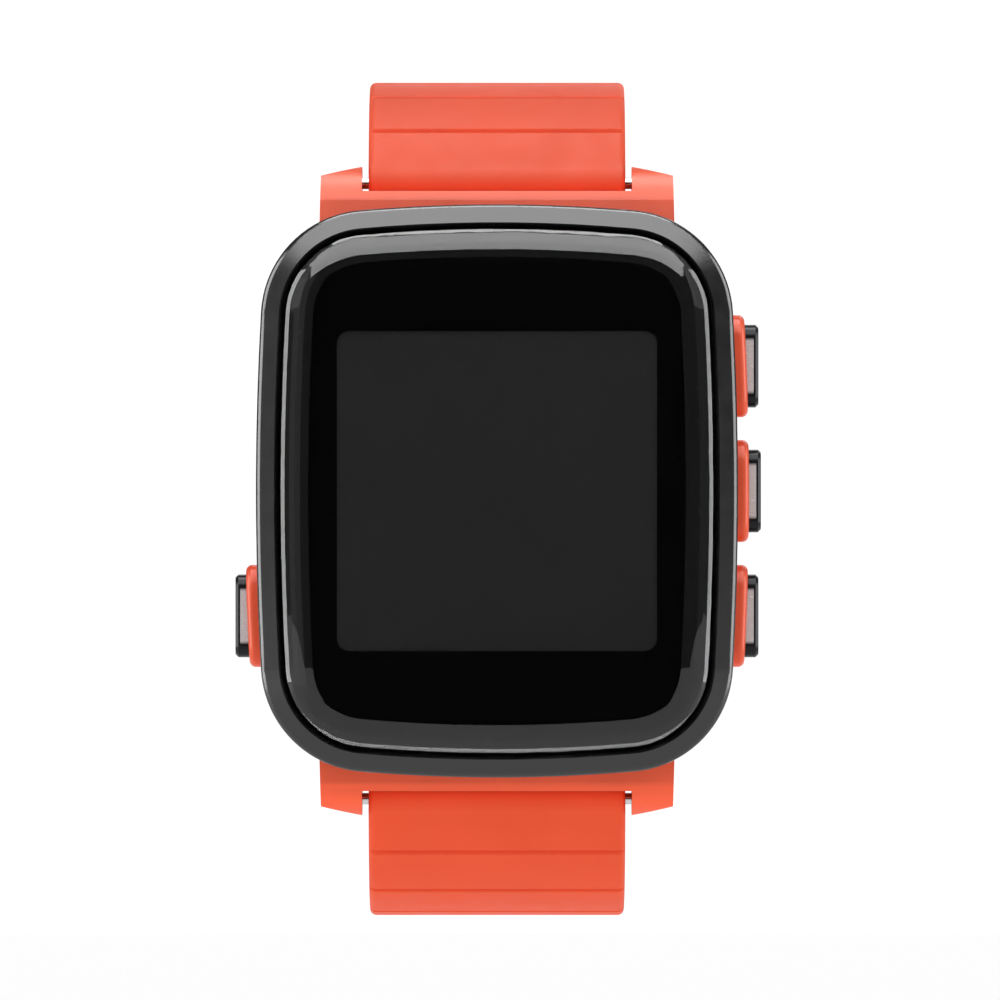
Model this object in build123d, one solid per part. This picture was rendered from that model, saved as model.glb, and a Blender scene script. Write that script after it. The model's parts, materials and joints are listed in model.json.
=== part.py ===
from build123d import *
from dataclasses import dataclass
from math import asin, cos, pi, sin, sqrt
import os

# GPS running watch with four side buttons and a two-piece quick-release strap, in millimetres.
#
# Every piece is drawn with the watch lying on its back: +X towards 3 o'clock, +Y towards
# 12 o'clock, +Z out of the display, and the origin on the flat outer face of the sensor window.
# STAND then tips the watch up, so that in the files the display faces -Y and 12 o'clock is +Z.
# The strap is unbuckled and curves back as round a wrist: the 12 o'clock half ends in the buckle,
# which hangs straight down, and the longer 6 o'clock half passes under and behind it.

STAND = Rot(90, 0, 0)

# ---------------------------------------------------------------- case outline, seen from the front
HALF_W = 20.57  # bezel's half width
HALF_H = 24.46  # bezel's half height
SIDE_R = 270.0  # the long sides bulge along this radius
END_R = 133.0  # the short ends bulge along this radius
CORNER_R = 9.2

# ---------------------------------------------------------------- heights over the sensor window
COVER_Z = 1.3  # outer face of the back cover
CASE_Z = 1.6  # lower rim of the middle case
COVER_IN_Z = 2.5  # inner face of the back cover
LEDGE_Z = 2.7  # ledge in the middle case that the gasket seals against
BOARD_Z = 6.9  # underside of the main board
BOARD_T = 0.8
SOLDER = 0.05
CASE_TOP_Z = 8.6  # joint between middle case and bezel
CHASSIS_T = 0.7  # the chassis plate lies on this joint's level
SEAT_Z = 10.85  # bezel ledge that the glass is bonded to
GLASS_Z = 11.0  # underside of the glass
BEZEL_TOP_Z = 11.95
GLASS_TOP_Z = 13.0

# ---------------------------------------------------------------- insets from the bezel's outline
CASE_INSET = 0.35
WALL_INSET = 2.2  # inside of the middle case's wall
COVER_INSET = 1.9
GASKET_INSETS = (1.95, 2.7)
LEDGE_INSET = 2.9
CHASSIS_INSETS = (3.15, 3.95)
BOARD_INSET = 4.4
BEZEL_LIP_INSET = 1.65
BEZEL_SEAT_INSET = 3.0
BEZEL_SLOPE_W = 1.55  # the band slopes outwards from the glass
BEZEL_SLOPE_H = 0.6
BEZEL_SHOULDER_R = 0.55
BEZEL_LIP_BEVEL = 0.06
BEZEL_FOOT_R = 0.25
GLASS_INSET = 1.82

# ---------------------------------------------------------------- display
ACTIVE = 27.3  # square of the display that lights up
ACTIVE_CORNER_R = 1.1
PANEL = (30.0, 31.6)
PANEL_T = 1.45
PANEL_BACK_T = 0.75
PANEL_FOOT = 2.4  # strip below the panel that carries the driver chip
FLEX_PASSAGE = (11.0, 4.2)  # opening in the chassis for the display's ribbon
GLASS_CURVE_W = 2.1  # width of the curved border of the glass
GLASS_CURVE_H = 1.1
GLASS_CREST_R = 5.0
GLASS_RIM_R = 1.2

# ---------------------------------------------------------------- back
CORNER_POST = (14.877, 18.527)  # screw posts, from the centre
POST_R = 1.75
POST_BORE_R = 0.8
WINDOW_R = 8.0
WINDOW_FLANGE_R = 9.0
WINDOW_STEP = 1.1  # the window steps out to its flange at this height
POD_R = (10.4, 12.8)  # raised ring around the window: outer face, foot
POD_LOW = 0.3
CONTACT_Y = -17.2
CONTACT_PITCH = 2.54
CONTACT_R = 0.98

# ---------------------------------------------------------------- buttons
BUTTON_Z = 5.4
BUTTONS = {  # name: (side, distance from the centre towards 12 o'clock)
    "upper_right": (1, 10.7),
    "middle_right": (1, 0.0),
    "lower_right": (1, -10.7),
    "lower_left": (-1, -10.7),
}
GUARD = (8.75, 5.5)  # orange pad around a button: length, depth
GUARD_PROUD = 1.0
CAP = (7.1, 3.5)
CAP_GAP = 0.2
CAP_PROUD = 2.03
POCKET_FLOOR = -0.65  # button dimensions along X are counted outwards from the bezel's side
SPOT_FACE = -2.05
STEM_END = -3.1
STEM_R = 1.0
STEM_BORE_R = 1.05
SEAL_X = (-1.55, -1.05)
CLIP_X = (-2.45, -2.1)
GROOVE_R = 0.7
SWITCH_GAP = 0.75

# ---------------------------------------------------------------- lugs and spring bars
LUG_IN = 11.56  # half the gap between the lugs
LUG_OUT = 15.2
LUG_TIP_R = 61.0  # the lug tips lie on one large circle in front view
LUG_TIP_Y = 28.9
SLOT_Y = 25.67
BAR_Y = 26.4
BAR_Z = 3.6
BAR_TUBE_R = 0.78
BAR_BORE_R = 0.58
BAR_TIP_R = 0.5
BAR_TIP_END = 12.9
LUG_HOLE_R = 0.55
LUG_HOLE_END = 13.1
BARREL_SWEEP_R = 2.15  # room that the strap's barrel turns in
KNOB_X = 7.2
KNOB_R = 0.5
KNOB_TIP = 2.05
RELEASE_TRAVEL = 1.4

# ---------------------------------------------------------------- strap
STRAP_W = 22.0
STRAP_END_W = 20.0
BARREL_R = 1.95  # barrel around the spring bar
BARREL_TANGENT_R = 1.9  # the outer face runs off the barrel at this radius
STRAP_T = 2.4
ROOT_T = 0.7  # extra thickness at the barrel, fading out over ROOT_FADE
ROOT_FADE = 18.0
EDGE_R = 0.55
GROOVE_FIRST = 4.6
GROOVE_PITCH = 5.3
GROOVE_SIDE = 0.4  # a groove is cut by the edge of a square bar
BEND_Y = 19.9  # both halves bend around axes at this distance from the centre
STATION = 4.0  # distance between the strap's lofted sections
HOLE = (3.2, 2.0)  # adjustment holes: across, along
HOLE_COUNT = 12
HOLES_FROM_TIP = 22.0
TIP_R = 11.5

# ---------------------------------------------------------------- keepers and buckle
KEEPER_W = 5.0  # along the strap
KEEPER_WALL = 1.3
KEEPER_ROOM = 2.9  # room over the strap for the other half
FIXED_KEEPER_BACK = 15.5  # from the buckle's bar to the keeper's middle
FREE_KEEPER_BACK = 22.0
FREE_KEEPER_ROOM = 21.6  # inside width
FREE_KEEPER_SLACK = 0.45
BUCKLE_BAR_R = 0.75
BUCKLE_BORE_R = 0.8
BUCKLE_TIP_R = 0.45
BUCKLE_HOLE_R = 0.5
BUCKLE_BARREL_R = 1.6
BUCKLE_ARM = 1.9  # width of each side arm
BUCKLE_T = 2.6
BUCKLE_GAP = 0.3  # between the strap's edge and each arm
BUCKLE_REACH = 8.9  # from the bar's axis to the crossbar
CROSSBAR = 2.6
TONGUE_W = 1.9
TONGUE_EYE = (0.82, 1.45)
TONGUE_EYE_W = 2.8
NOTCH_W = 3.6


# ================================================================ shared shapes
def outline(inset):
    """Case outline, drawn in by `inset` from the bezel's edge."""
    side, end = SIDE_R - inset, END_R - inset
    discs = [Pos(s * (HALF_W - SIDE_R), 0) * Circle(side) for s in (1, -1)]
    discs += [Pos(0, s * (HALF_H - END_R)) * Circle(end) for s in (1, -1)]
    shape = discs[0] & discs[1] & discs[2] & discs[3]
    return fillet(shape.vertices(), CORNER_R - inset)


def plate(inset, low, high):
    """Solid with the case's outline between two heights."""
    return Pos(0, 0, low) * extrude(outline(inset), high - low)


def ring(outer, inner, low, high):
    """Band that follows the case's outline between two insets."""
    return plate(outer, low, high) - plate(inner, low - 1, high + 1)


def block(width, length, low, high, x=0.0, y=0.0):
    """Rectangular block standing between two heights."""
    return Pos(x, y, low) * Box(width, length, high - low, align=(Align.CENTER, Align.CENTER, Align.MIN))


def post(radius, low, high, x=0.0, y=0.0):
    """Upright cylinder between two heights."""
    return Pos(x, y, low) * Cylinder(radius, high - low, align=(Align.CENTER, Align.CENTER, Align.MIN))


def rod(radius, start, end, y=0.0, z=0.0):
    """Cylinder along X between two positions."""
    low, high = sorted((start, end))
    lying = Rot(0, 90, 0) * Cylinder(radius, high - low, align=(Align.CENTER, Align.CENTER, Align.MIN))
    return Pos(low, y, z) * lying


def flat(edge):
    """True for an edge that lies at one height."""
    return edge.bounding_box().size.Z < 0.01


def side_x(y):
    """Half width of the bezel at the distance y from the centre."""
    return HALF_W - SIDE_R + sqrt(SIDE_R**2 - y**2)


def corner_posts():
    """Centres of the four screws, on the corners' diagonals."""
    x, y = CORNER_POST
    return [(sx * x, sy * y) for sx in (1, -1) for sy in (1, -1)]


# ================================================================ front of the case
def front_bezel():
    """Band around the glass, with the ledge inside it that the glass is bonded to."""
    body = ring(0, BEZEL_LIP_INSET, CASE_TOP_Z, BEZEL_TOP_Z)
    body += ring(1.0, BEZEL_SEAT_INSET, CASE_TOP_Z, SEAT_Z)
    top = body.faces().sort_by(Axis.Z)[-1]
    body = chamfer(top.outer_wire().edges(), BEZEL_SLOPE_W, BEZEL_SLOPE_H, reference=top)
    foot_of_slope = BEZEL_TOP_Z - BEZEL_SLOPE_H
    shoulder = body.edges().filter_by(lambda e: abs(e.center().Z - foot_of_slope) < 0.02 and flat(e))
    body = fillet(shoulder, BEZEL_SHOULDER_R)
    lip = body.faces().sort_by(Axis.Z)[-1].inner_wires()[0]
    body = chamfer(lip.edges(), BEZEL_LIP_BEVEL)
    foot = body.faces().sort_by(Axis.Z)[0].outer_wire()
    return fillet(foot.edges(), BEZEL_FOOT_R)


def cover_glass():
    """Glass whose border curves down to the bezel."""
    body = plate(GLASS_INSET, GLASS_Z, GLASS_TOP_Z)
    top = body.faces().sort_by(Axis.Z)[-1]
    body = chamfer(top.edges(), GLASS_CURVE_W, GLASS_CURVE_H, reference=top)
    body = fillet(body.faces().sort_by(Axis.Z)[-1].edges(), GLASS_CREST_R)
    shoulder = GLASS_TOP_Z - GLASS_CURVE_H
    rim = body.edges().filter_by(lambda e: abs(e.center().Z - shoulder) < 0.02 and flat(e))
    return fillet(rim, GLASS_RIM_R)


def glass_adhesive():
    window = RectangleRounded(ACTIVE, ACTIVE, ACTIVE_CORNER_R)
    return plate(GLASS_INSET + 0.05, SEAT_Z, GLASS_Z) - Pos(0, 0, SEAT_Z) * extrude(window, 1)


def display_module():
    """Display panel on its back plate, with the driver chip on the strip below it."""
    low = SEAT_Z - PANEL_T
    step = low + PANEL_BACK_T
    back = block(PANEL[0], PANEL[1] + PANEL_FOOT, low, step, y=-PANEL_FOOT / 2)
    front = block(*PANEL, step, SEAT_Z)
    driver = block(16.0, 1.2, step, step + 0.35, y=-(PANEL[1] + PANEL_FOOT) / 2)
    return fillet((back + front).edges().filter_by(Axis.Z), 0.6) + driver


def display_flex():
    """Ribbon that folds from the display's lower edge down to the main board."""
    edge = -PANEL[1] / 2 - PANEL_FOOT
    fold = edge - 0.9
    high, low = SEAT_Z - PANEL_T + 0.35, BOARD_Z + BOARD_T + 0.1
    path = FilletPolyline((edge, high), (fold, high), (fold, low), (edge + 2.2, low), radius=0.4)
    return extrude(Plane.YZ * trace(path, 0.12), 5.0, both=True)


def inner_chassis():
    top = CASE_TOP_Z + CHASSIS_T
    body = plate(CHASSIS_INSETS[0], CASE_TOP_Z, top) + ring(*CHASSIS_INSETS, 3.6, CASE_TOP_Z)
    for x, y in board_screw_places():
        body += post(1.3, BOARD_Z + BOARD_T, CASE_TOP_Z, x, y)
        body -= post(0.6, BOARD_Z, top - 0.1, x, y)
    for x, y in corner_posts():
        body -= post(2.1, 2.0, 7.4, x, y)
    for side, y in BUTTONS.values():
        body -= block(6.0, 5.4, 3.0, BOARD_Z + 0.1, side * 17.0, y)
    return body - block(*FLEX_PASSAGE, BOARD_Z, top + 1, y=-HALF_H + 4.0)


# ================================================================ middle case and back
def lug_block(end):
    """Both lugs of one end, with the bridge of case between them; `end` is +1 at 12 o'clock."""
    bottom, tip, crest = (26.3, 1.25), (27.95, 3.1), (24.9, 8.05)
    side = Polyline((16, CASE_Z), (22.5, CASE_Z), bottom) + ThreePointArc(bottom, (27.5, 1.75), tip)
    side += ThreePointArc(tip, (27.3, 6.2), crest) + Polyline(crest, (23.0, 8.4), (16, 8.4), (16, CASE_Z))
    profile = extrude(Plane.YZ * make_face(side.edges()), LUG_OUT + 1, both=True)
    tips = Pos(0, LUG_TIP_Y - LUG_TIP_R) * Circle(LUG_TIP_R)
    flanks = Polygon((-15.35, 16), (15.35, 16), (15.0, 30), (-15.0, 30), align=None)
    body = profile & extrude(tips & flanks, 12)
    body -= block(2 * LUG_IN, 12.0, -1, 12, y=SLOT_Y + 6.0)
    body -= rod(BARREL_SWEEP_R, -LUG_IN, LUG_IN, BAR_Y, BAR_Z)
    body -= block(2 * LUG_IN, 6.0, -1, BAR_Z, y=BAR_Y - BARREL_SWEEP_R + 3.0)
    return body if end > 0 else body.mirror(Plane.XZ)


def button_guard(side, y):
    """Rounded pad on the case's side that a button sits in."""
    length, depth = GUARD
    face = Pos(side * 15.0, y, BUTTON_Z) * Rot(0, side * 90, 0) * RectangleRounded(depth, length, 1.9)
    pad = extrude(face, 9.0) & plate(-GUARD_PROUD, BUTTON_Z - depth, BUTTON_Z + depth)
    pad -= plate(CASE_INSET + 0.5, 0, 12)
    outer = pad.faces().sort_by(Axis.X)[-1 if side > 0 else 0]
    return fillet(outer.edges(), 0.55)


def button_cuts(side, y):
    """Pocket for the cap, bore for the stem and spot face for the clip."""
    x = side_x(y)
    pocket = RectangleRounded(CAP[1] + 2 * CAP_GAP, CAP[0] + 2 * CAP_GAP, 1.3)
    place = Pos(side * (x + POCKET_FLOOR), y, BUTTON_Z) * Rot(0, side * 90, 0)
    cut = extrude(place * pocket, 4.0)
    cut += rod(STEM_BORE_R, side * (x - 4.0), side * (x + 1.0), y, BUTTON_Z)
    cut += rod(2.15, side * (x - 3.6), side * (x + SPOT_FACE), y, BUTTON_Z)
    return cut


def mid_case():
    """Orange body of the watch: wall, lugs and button guards around the electronics."""
    body = plate(CASE_INSET, CASE_Z, CASE_TOP_Z)
    foot = body.faces().sort_by(Axis.Z)[0]
    body = fillet(foot.edges(), 1.0)
    for end in (1, -1):
        body += lug_block(end)
    for side, y in BUTTONS.values():
        body += button_guard(side, y)
    body -= plate(WALL_INSET, LEDGE_Z + 0.8, CASE_TOP_Z + 1)
    body -= plate(LEDGE_INSET, 0, CASE_TOP_Z)
    body -= plate(COVER_INSET - 0.1, 0, LEDGE_Z)
    for x, y in corner_posts():
        body += post(POST_R, LEDGE_Z, 7.2, x, y)
        body -= post(POST_BORE_R, LEDGE_Z - 1, 6.4, x, y)
    for side, y in BUTTONS.values():
        body -= button_cuts(side, y)
    for end in (1, -1):
        body -= rod(LUG_HOLE_R, -LUG_HOLE_END, LUG_HOLE_END, end * BAR_Y, BAR_Z)
    return body


def case_gasket():
    return ring(*GASKET_INSETS, COVER_IN_Z, LEDGE_Z)


def back_cover():
    """Cover with a raised ring around the sensor window."""
    body = plate(COVER_INSET, COVER_Z, COVER_IN_Z)
    body = chamfer(body.faces().sort_by(Axis.Z)[0].edges(), 0.3)
    pod = Cone(*POD_R, COVER_Z - POD_LOW, align=(Align.CENTER, Align.CENTER, Align.MIN))
    body += fillet((Pos(0, 0, POD_LOW) * pod).edges().sort_by(Axis.Z)[0], 0.4)
    body -= post(WINDOW_FLANGE_R + 0.2, WINDOW_STEP, 5.0)
    body -= post(WINDOW_R, -1, 2)
    for x, y in corner_posts():
        body -= post(0.9, 0, 5, x, y) + post(1.45, 0, COVER_Z + 0.6, x, y)
    for x in contact_places():
        body -= post(1.0, 0, 5, x, CONTACT_Y)
    return body


def contact_places():
    """X of the four charging contacts, in a row below the sensor."""
    return [CONTACT_PITCH * (i - 1.5) for i in range(4)]


def sensor_window():
    """Window over the optical sensor, with a flange that is bonded to the cover."""
    body = post(WINDOW_R - 0.03, 0, WINDOW_STEP) + post(WINDOW_FLANGE_R, WINDOW_STEP, 1.5)
    rim = body.faces().sort_by(Axis.Z)[0].edges()
    return chamfer(rim, 0.2)


def back_cover_screws():
    """Four M1.6 screws with flat heads and cross recesses."""
    screw = post(1.35, COVER_Z + 0.05, COVER_Z + 0.6) + post(0.78, COVER_Z + 0.6, 6.0)
    screw -= block(1.5, 0.32, COVER_Z, COVER_Z + 0.4) + block(0.32, 1.5, COVER_Z, COVER_Z + 0.4)
    return [Pos(x, y, 0) * screw for x, y in corner_posts()]


def charge_contacts():
    pin = post(CONTACT_R, COVER_Z + 0.05, COVER_IN_Z) + post(0.5, COVER_IN_Z, COVER_IN_Z + 0.4)
    return [Pos(x, CONTACT_Y, 0) * pin for x in contact_places()]


# ================================================================ electronics
def board_screw_places():
    return [(-13.6, 3.0), (13.6, 5.35), (-1.0, 17.6)]


def main_board():
    body = plate(BOARD_INSET, BOARD_Z, BOARD_Z + BOARD_T)
    for x, y in corner_posts():
        body -= post(2.0, BOARD_Z - 1, BOARD_Z + 2, x, y)
    for x, y in board_screw_places():
        body -= post(0.65, BOARD_Z - 1, BOARD_Z + 2, x, y)
    return body


def board_screws():
    """M1.2 screws that hold the board up against the chassis."""
    screw = post(1.05, BOARD_Z - 0.55, BOARD_Z) + post(0.58, BOARD_Z, CASE_TOP_Z + 0.4)
    screw -= block(1.3, 0.3, BOARD_Z - 1, BOARD_Z - 0.3)
    return [Pos(x, y, 0) * screw for x, y in board_screw_places()]


def board_chips():
    """Processor, radio, memory, power and sensor chips on the board's upper face."""
    top = BOARD_Z + BOARD_T + SOLDER
    sizes = [(6.0, 6.0, 7.5, -4.0), (3.2, 3.2, 7.5, -11.0), (4.5, 3.0, 8.0, 12.0), (2.5, 2.5, -8.0, 12.5)]
    return [block(w, l, top, top + 0.7, x, y) for w, l, x, y in sizes]


def radio_shield():
    top = BOARD_Z + BOARD_T
    can = block(12.0, 14.0, top, top + 0.8, -5.0, -5.0)
    can = fillet(can.edges().filter_by(Axis.Z), 0.8)
    return can - block(11.6, 13.6, top - 1, top + 0.65, -5.0, -5.0)


def gps_antenna():
    """Square ceramic patch under the board, with its feed pin's silvered square."""
    tile = block(10.0, 10.0, BOARD_Z - 2.4, BOARD_Z, 7.6, 12.9)
    return chamfer(tile.edges().filter_by(Axis.Z), 0.5)


def battery():
    cell = block(25.0, 24.5, 3.0, 6.3, 0, -6.0)
    return fillet(cell.edges(), 0.9)


def vibration_motor():
    can = post(4.0, 3.2, 5.9, -8.0, 13.2)
    return fillet(can.edges(), 0.3)


def side_switches():
    """Push switches on the board's edge, one behind each button's stem."""
    switches = []
    for side, y in BUTTONS.values():
        face = side_x(y) + STEM_END - SWITCH_GAP
        body = block(1.7, 3.4, BUTTON_Z - 1.3, BOARD_Z - SOLDER, side * (face - 0.85), y)
        switches.append(body)
    return switches


def sensor_board():
    return post(7.2, 2.0, 2.5)


def sensor_emitters():
    """Two light emitters and the photodiode between them, behind the sensor window."""
    return [block(2.6, 2.6, 1.55, 2.0), block(1.5, 1.5, 1.55, 2.0, -4.0), block(1.5, 1.5, 1.55, 2.0, 4.0)]


# ================================================================ buttons
def button_cap(side, y):
    x = side_x(y)
    face = Pos(side * x, y, BUTTON_Z) * Rot(0, side * 90, 0) * RectangleRounded(CAP[1], CAP[0], 1.15)
    cap = extrude(face, CAP_PROUD)
    outer = cap.faces().sort_by(Axis.X)[-1 if side > 0 else 0]
    cap = chamfer(outer.edges(), 0.25)
    stem = rod(STEM_R, side * (x + STEM_END), side * x, y, BUTTON_Z)
    for near, far in (SEAL_X, CLIP_X):
        ring_cut = rod(STEM_R + 1, side * (x + near), side * (x + far), y, BUTTON_Z)
        stem -= ring_cut - rod(GROOVE_R, side * (x - 4), side * (x + 1), y, BUTTON_Z)
    return cap + stem


def button_seal(side, y):
    """Sealing ring, squeezed between the stem's groove and the bore."""
    x = side_x(y)
    near, far = SEAL_X
    seal = rod(STEM_BORE_R - 0.02, side * (x + near + 0.02), side * (x + far - 0.02), y, BUTTON_Z)
    seal = fillet(seal.edges().filter_by(GeomType.CIRCLE), 0.12)
    return seal - rod(GROOVE_R + 0.01, side * (x - 4), side * (x + 1), y, BUTTON_Z)


def button_clip(side, y):
    """E-clip that keeps the button in the case."""
    x = side_x(y)
    near, far = CLIP_X
    clip = rod(1.75, side * (x + near + 0.02), side * (x + far - 0.02), y, BUTTON_Z)
    clip -= rod(GROOVE_R + 0.01, side * (x - 4), side * (x + 1), y, BUTTON_Z)
    return clip - block(2.0, 2 * GROOVE_R - 0.3, 0, BUTTON_Z, side * (x - 2.2), y)


# ================================================================ strap
@dataclass
class Half:
    """One half of the strap: its bend off the lug, and the tail past the bend."""

    bend_r: float
    tail: float
    tail_r: float  # radius that the tail curves round the wrist with
    taper: tuple  # lengths from the barrel between which the strap narrows

    def centre(self):
        """Axis of the bend, placed so that the outer face runs tangent off the barrel."""
        reach = self.bend_r - BARREL_TANGENT_R
        return BEND_Y, BAR_Z - sqrt(reach**2 - (BAR_Y - BEND_Y) ** 2)

    def start(self):
        """Direction of the outer face's normal at the barrel, as an angle from straight out."""
        return asin((BAR_Y - BEND_Y) / (self.bend_r - BARREL_TANGENT_R))

    def bend(self):
        """Length of the outer face from the barrel to where it runs straight back."""
        return self.bend_r * (pi / 2 - self.start())

    def length(self):
        return self.bend() + self.tail

    def frame(self, s):
        """Plane on the outer face at the length s from the barrel: x across, y along, z out."""
        y, z = self.centre()
        past = s - self.bend()
        if past <= 0:
            turn = self.start() + s / self.bend_r
            y, z = y + self.bend_r * sin(turn), z + self.bend_r * cos(turn)
        else:
            turn = pi / 2 + past / self.tail_r
            y, z = y + self.bend_r - self.tail_r * (1 - sin(turn)), z + self.tail_r * cos(turn)
        return Plane(origin=(0, y, z), x_dir=(1, 0, 0), z_dir=(0, sin(turn), cos(turn)))

    def width(self, s):
        first, last = self.taper
        share = min(1.0, max(0.0, (s - first) / (last - first)))
        return STRAP_W - (STRAP_W - STRAP_END_W) * share

    def band(self):
        """The strap without its barrel, lofted through sections a few millimetres apart."""
        count = round(self.length() / STATION)
        sections = []
        for i in range(count + 1):
            s = self.length() * i / count
            frame = self.frame(s)
            across = Plane(frame.origin, x_dir=frame.x_dir, z_dir=frame.y_dir)
            t = STRAP_T + ROOT_T * max(0.0, 1 - s / ROOT_FADE) ** 2
            sections.append(across * Pos(0, t / 2) * RectangleRounded(self.width(s), t, EDGE_R))
        return loft(sections)

    def grooves(self, last):
        """Fine grooves across the outer face, up to the length `last`."""
        bar = Rot(45, 0, 0) * Box(STRAP_W + 2, GROOVE_SIDE, GROOVE_SIDE)
        count = int((last - GROOVE_FIRST) / GROOVE_PITCH) + 1
        return [self.frame(GROOVE_FIRST + i * GROOVE_PITCH).location * bar for i in range(count)]

    def with_barrel(self, band):
        """Add the barrel, bored for the spring bar and slotted for the release knob."""
        body = rod(BARREL_R, -STRAP_W / 2, STRAP_W / 2, BAR_Y, BAR_Z)
        body = band + fillet(body.edges().filter_by(GeomType.CIRCLE), 0.35)
        body -= rod(BAR_TUBE_R + 0.02, -STRAP_W, STRAP_W, BAR_Y, BAR_Z)
        return body - self.knob_slot(0.15)

    def bar_place(self):
        """Location on the spring bar's axis, with z along the outer face's normal at the barrel."""
        return Plane((0, BAR_Y, BAR_Z), x_dir=(1, 0, 0), z_dir=self.frame(0).z_dir).location

    def knob_slot(self, room):
        """Slot on the inner side, as long as the release knob's travel."""
        length = RELEASE_TRAVEL + 2 * (KNOB_R + room)
        slot = Box(length, 2 * (KNOB_R + room), 4, align=(Align.CENTER, Align.CENTER, Align.MAX))
        return self.bar_place() * Pos(RELEASE_TRAVEL / 2 - KNOB_X, 0, 0) * slot


UPPER = Half(bend_r=15.5, tail=34.0 * pi / 2, tail_r=34.0, taper=(20.0, 60.0))
LOWER = Half(bend_r=16.9, tail=98.0, tail_r=70.0, taper=(45.0, 110.0))


def adjustment_holes():
    """Oval holes of the long half, each midway between two grooves."""
    last = (LOWER.length() - HOLES_FROM_TIP - GROOVE_FIRST) // GROOVE_PITCH
    hole = extrude(SlotOverall(*HOLE), STRAP_T * 2, both=True)
    lengths = [GROOVE_FIRST + GROOVE_PITCH * (last - i + 0.5) for i in range(HOLE_COUNT)]
    return [LOWER.frame(s).location * hole for s in lengths]


def strap_lower():
    """Long half, with its adjustment holes and rounded tip; drawn on the 12 o'clock side."""
    body = LOWER.band() - LOWER.grooves(LOWER.length() - TIP_R)
    body -= adjustment_holes()
    tip = LOWER.frame(LOWER.length() - TIP_R).location
    corner = Pos(0, TIP_R) * Rectangle(STRAP_W + 2, 2 * TIP_R) - Circle(TIP_R)
    body -= tip * extrude(corner, STRAP_T * 2, both=True)
    return LOWER.with_barrel(body)


def keeper(width, room_below):
    """Loop around the strap, in the strap's frame, with room over it for the other half."""
    inside = (width, STRAP_T + KEEPER_ROOM + room_below)
    loop = RectangleRounded(inside[0] + 2 * KEEPER_WALL, inside[1] + 2 * KEEPER_WALL, 1.9)
    loop -= RectangleRounded(*inside, 0.6)
    place = Pos(0, 0, (KEEPER_ROOM - STRAP_T - room_below) / 2) * Rot(90, 0, 0)
    body = extrude(place * loop, KEEPER_W / 2, both=True)
    rims = body.edges().filter_by(lambda e: abs(abs(e.center().Y) - KEEPER_W / 2) < 0.01)
    return fillet(rims, 0.35)


def strap_upper():
    """Short half, with the fixed keeper and a notched barrel for the buckle's bar."""
    body = UPPER.band() - UPPER.grooves(UPPER.length() - FREE_KEEPER_BACK)
    eye = rod(BUCKLE_BARREL_R, -STRAP_END_W / 2, STRAP_END_W / 2)
    body += buckle_place() * fillet(eye.edges().filter_by(GeomType.CIRCLE), 0.3)
    body -= buckle_place() * rod(BUCKLE_BORE_R, -STRAP_W, STRAP_W)
    body -= buckle_place() * Box(NOTCH_W, 6.0, 8.0)
    fixed = UPPER.frame(UPPER.length() - FIXED_KEEPER_BACK).location
    body += fixed * keeper(UPPER.width(UPPER.length() - FIXED_KEEPER_BACK) - 0.3, -0.2)
    return UPPER.with_barrel(body)


def keeper_free():
    """Loose loop that slides along the short half."""
    place = UPPER.frame(UPPER.length() - FREE_KEEPER_BACK).location
    return place * keeper(FREE_KEEPER_ROOM, FREE_KEEPER_SLACK)


# ================================================================ quick-release spring bars
def bar_tube(half):
    """Tube with one fixed tip; the other end is open for the release pin."""
    end = STRAP_W / 2 - 0.2
    tube = rod(BAR_TUBE_R, -end, end) + rod(BAR_TIP_R, end, BAR_TIP_END)
    tube -= rod(BAR_BORE_R, -end - 1, end - 3.0)
    tube = Pos(0, BAR_Y, BAR_Z) * tube
    return tube - half.knob_slot(0.05)


def release_pin(half):
    """Spring-loaded tip with the knob that pulls it out of the lug."""
    pin = rod(BAR_TIP_R, -BAR_TIP_END, 2 * KNOB_R - KNOB_X)
    knob = Pos(-KNOB_X, 0, 0) * Cylinder(KNOB_R, KNOB_TIP, align=(Align.CENTER, Align.CENTER, Align.MAX))
    return half.bar_place() * (pin + knob)


# ================================================================ buckle
def buckle_place():
    """Location on the buckle bar's axis: x along the bar, y away from the strap, z out."""
    return UPPER.frame(UPPER.length()).offset(-STRAP_T / 2).location


def buckle_frame():
    inner = STRAP_END_W / 2 + BUCKLE_GAP
    outer = inner + BUCKLE_ARM
    far = BUCKLE_REACH + CROSSBAR
    shape = Polygon((-outer, 0), (outer, 0), (outer, far), (-outer, far), align=None)
    shape = fillet(shape.vertices().sort_by(Axis.Y)[-2:], 3.2)
    shape += [Pos(s * (inner + BUCKLE_ARM / 2), 0) * Rectangle(BUCKLE_ARM, BUCKLE_T) for s in (1, -1)]
    window = Polygon((-inner, -9), (inner, -9), (inner, BUCKLE_REACH), (-inner, BUCKLE_REACH), align=None)
    window = fillet(window.vertices().sort_by(Axis.Y)[-2:], 1.4)
    body = extrude(shape - window, BUCKLE_T / 2, both=True)
    body = fillet(body.edges().filter_by(lambda e: abs(abs(e.center().Z) - BUCKLE_T / 2) < 0.01), 0.6)
    return buckle_place() * (body - rod(BUCKLE_HOLE_R, -outer + 0.5, outer - 0.5))


def buckle_bar():
    """Spring bar through the strap's end barrel, its tips in the frame's arms."""
    end = STRAP_END_W / 2 - 0.1
    tip = end + BUCKLE_GAP + BUCKLE_ARM - 0.6
    return buckle_place() * (rod(BUCKLE_BAR_R, -end, end) + rod(BUCKLE_TIP_R, -tip, tip))


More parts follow.
